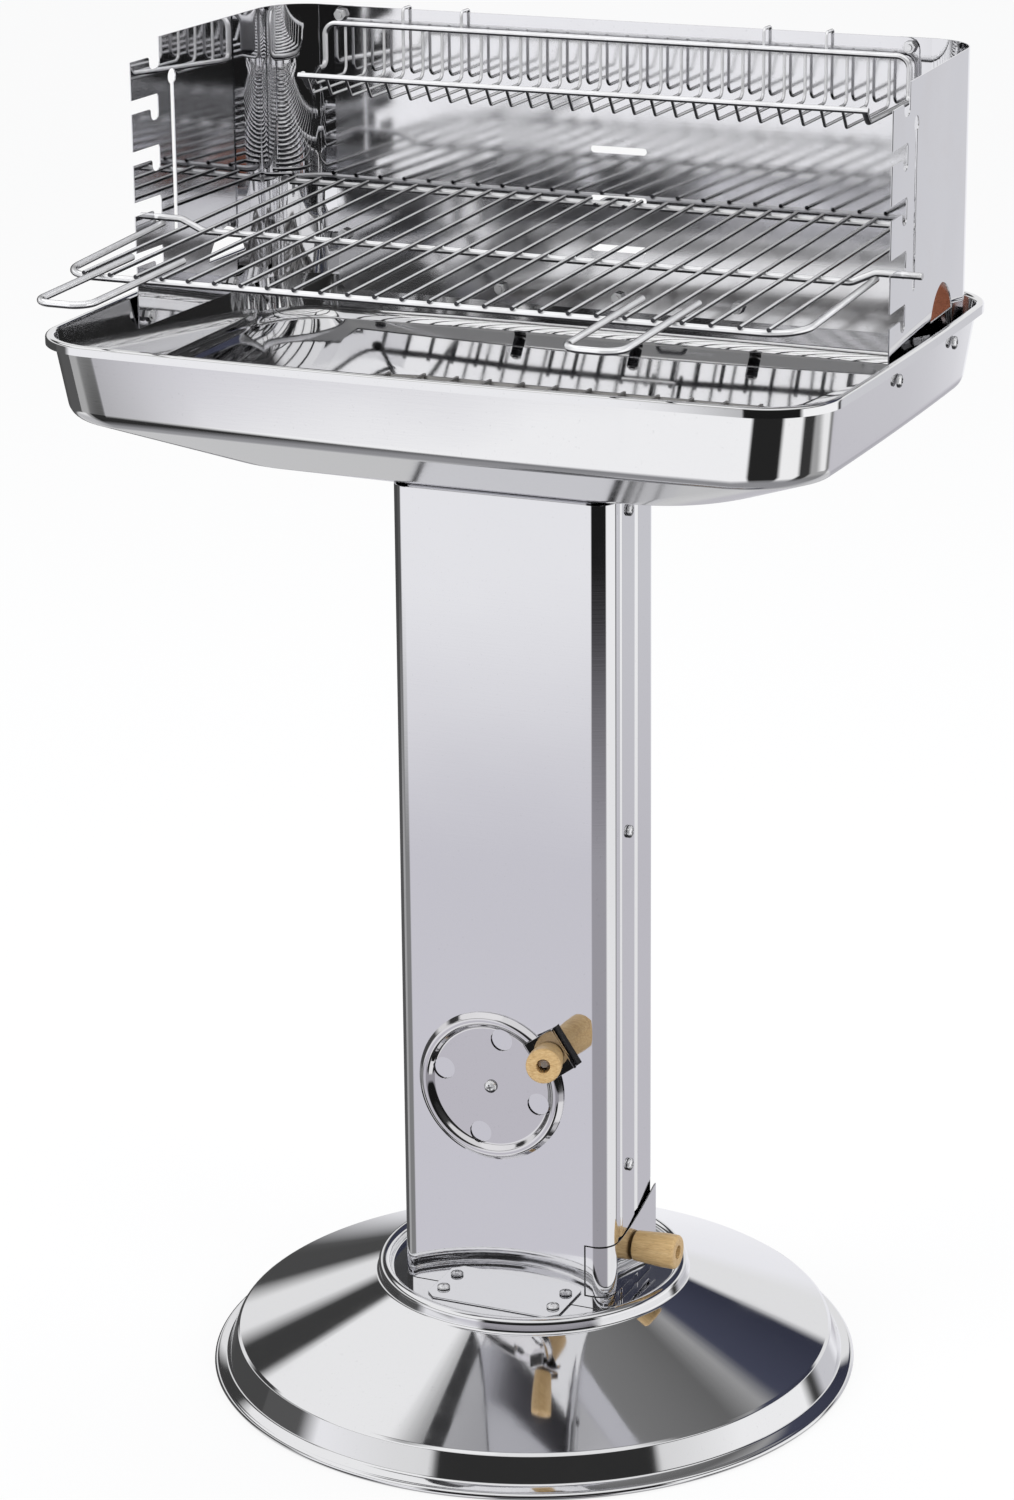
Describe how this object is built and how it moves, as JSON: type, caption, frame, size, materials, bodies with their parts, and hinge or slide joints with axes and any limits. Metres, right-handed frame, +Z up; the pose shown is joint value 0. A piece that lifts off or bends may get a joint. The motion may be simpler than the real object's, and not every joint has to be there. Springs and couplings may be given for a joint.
{
  "type": "column charcoal barbecue",
  "caption": "Stainless-steel charcoal barbecue on a column: spun foot, square column with air vent and ash drawer, deep bowl, windshield, cooking grate and warming rack.",
  "frame": {"origin": "on the floor, under the middle of the whole barbecue's box", "axes": "+Z up, +X to the right as seen from the front, +Y to the back; the grips point to -Y"},
  "size_m": [0.576, 0.493, 0.9612],
  "materials": {
    "spun_steel": "mirror-polished spun stainless sheet with faint turning lines",
    "polished_steel": "mirror-polished stainless sheet",
    "satin_steel": "satin stainless sheet",
    "bright_wire": "bright chrome-plated wire",
    "plain_wire": "dull steel wire",
    "knob_wood": "turned pale hardwood, lightly oiled",
    "fasteners": "bright zinc-plated steel"
  },
  "bodies": {
    "stand": {"base_dish": "spun_steel", "column_front_channel": "polished_steel", "column_rear_channel": "polished_steel", "drawer_guide": "satin_steel", "fire_bowl": "polished_steel", "windshield_left": "polished_steel", "windshield_right": "polished_steel", "windshield_rear": "polished_steel", "foot_screw_front_left": "fasteners", "foot_screw_front_right": "fasteners", "foot_screw_rear_left": "fasteners", "foot_screw_rear_right": "fasteners", "foot_nut_front_left": "fasteners", "foot_nut_front_right": "fasteners", "foot_nut_rear_left": "fasteners", "foot_nut_rear_right": "fasteners", "column_screw_foot_left": "fasteners", "column_screw_foot_right": "fasteners", "column_screw_middle_left": "fasteners", "column_screw_middle_right": "fasteners", "column_screw_top_left": "fasteners", "column_screw_top_right": "fasteners", "windshield_screw_high_left": "fasteners", "windshield_screw_high_right": "fasteners", "windshield_screw_low_left": "fasteners", "windshield_screw_low_right": "fasteners", "windshield_nut_high_left": "fasteners", "windshield_nut_high_right": "fasteners", "windshield_nut_low_left": "fasteners", "windshield_nut_low_right": "fasteners", "bowl_screw_front_left": "fasteners", "bowl_screw_front_right": "fasteners", "bowl_nut_front_left": "fasteners", "bowl_nut_front_right": "fasteners", "bowl_screw_back_left": "fasteners", "bowl_screw_back_right": "fasteners", "bowl_nut_back_left": "fasteners", "bowl_nut_back_right": "fasteners", "wall_sleeve_back_left": "fasteners", "wall_sleeve_back_right": "fasteners", "rear_screw_left": "fasteners", "rear_sleeve_left": "fasteners", "rear_nut_left": "fasteners", "rear_screw_middle": "fasteners", "rear_sleeve_middle": "fasteners", "rear_nut_middle": "fasteners", "rear_screw_right": "fasteners", "rear_sleeve_right": "fasteners", "rear_nut_right": "fasteners", "vent_pivot_screw": "fasteners"},
    "vent": {"vent_disc": "polished_steel", "vent_knob": "knob_wood", "vent_knob_screw": "fasteners"},
    "ash_drawer": {"ash_drawer_front": "polished_steel", "ash_drawer_tray": "satin_steel", "ash_drawer_knob": "knob_wood", "ash_drawer_knob_screw": "fasteners"},
    "cooking_grate": {"cooking_grate": "bright_wire"},
    "warming_rack": {"warming_rack": "bright_wire"},
    "charcoal_grate": {"charcoal_grate": "plain_wire"}
  },
  "joints": [
    {"name": "vent_turn", "type": "hinge", "parent": "stand", "child": "vent", "pos_m": [-0.0085, -0.0433, 0.2315], "axis": [0, -1, 0], "continuous": true},
    {"name": "drawer_slide", "type": "slide", "parent": "stand", "child": "ash_drawer", "axis": [1, 0, 0], "range_m": [0, 0.14]},
    {"name": "grate_tilt", "type": "hinge", "parent": "stand", "child": "cooking_grate", "pos_m": [0, 0.1802, 0.8305], "axis": [-1, 0, 0], "range_deg": [0, 3.6]},
    {"name": "rack_lift", "type": "slide", "parent": "stand", "child": "warming_rack", "axis": [0, 0, 1], "range_m": [0, 0.03]},
    {"name": "coal_grate_lift", "type": "slide", "parent": "stand", "child": "charcoal_grate", "axis": [0, 0, 1], "range_m": [0, 0.06]}
  ]
}
